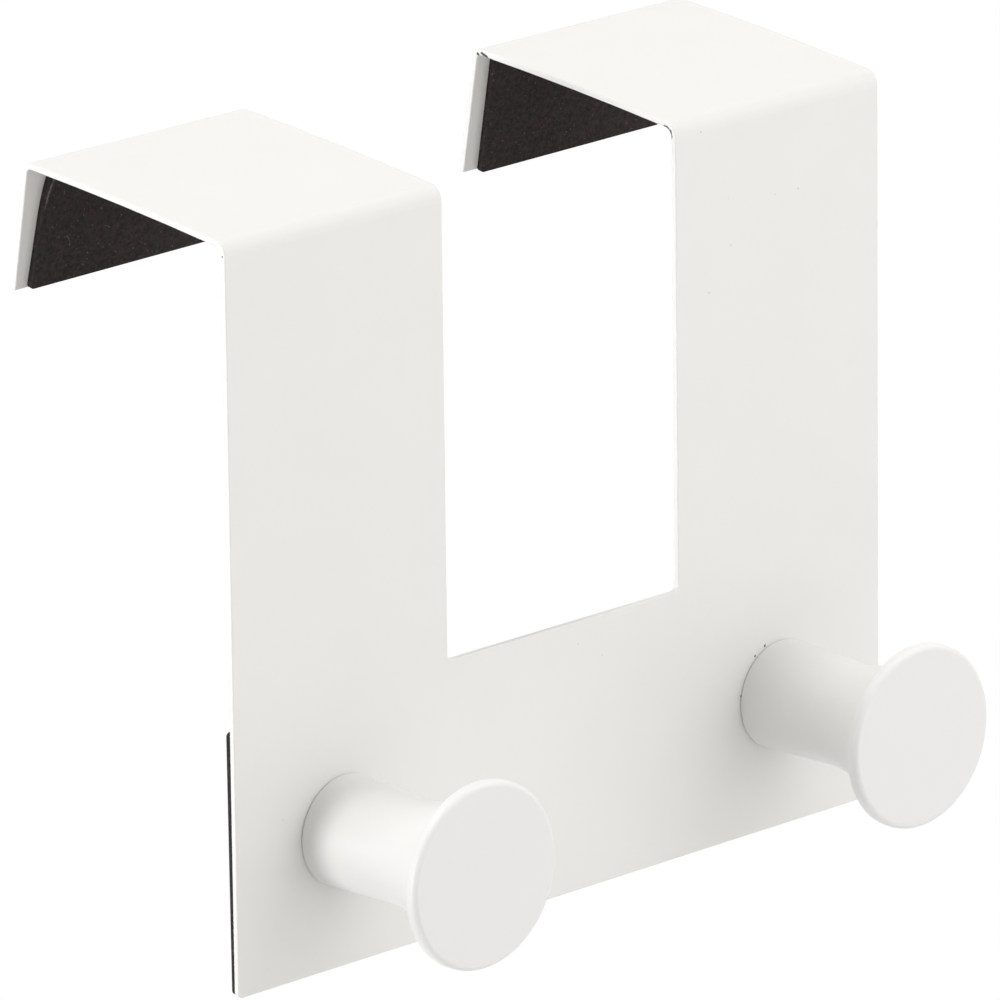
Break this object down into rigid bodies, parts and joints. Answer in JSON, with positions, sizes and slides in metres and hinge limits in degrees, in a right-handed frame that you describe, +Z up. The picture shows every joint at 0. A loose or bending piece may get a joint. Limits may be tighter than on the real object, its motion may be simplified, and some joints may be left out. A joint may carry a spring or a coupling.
{
  "type": "over door hook",
  "caption": "Folded sheet hook that hangs over a door's top edge, with a slotted front plate, padded return lips and disc-ended spool pegs for coats and bags.",
  "frame": {"origin": "the door's front top edge under the middle of the hook: the pads' door face, where the straps' undersides meet it", "axes": "+X to the right as seen from the front, +Y back over the door, +Z up"},
  "size_m": [0.14, 0.0815, 0.1248],
  "materials": {
    "plate_coat": "satin white powder coat on steel sheet",
    "peg_coat": "satin white coat on a turned metal peg",
    "screw_zinc": "zinc-plated steel",
    "pad_foam": "matt black cellular foam"
  },
  "bodies": {
    "root": {"door_plate": "plate_coat", "left_peg": "peg_coat", "right_peg": "peg_coat", "peg_screws": "screw_zinc", "left_lip_pad": "pad_foam", "right_lip_pad": "pad_foam", "back_pad": "pad_foam"}
  },
  "joints": []
}
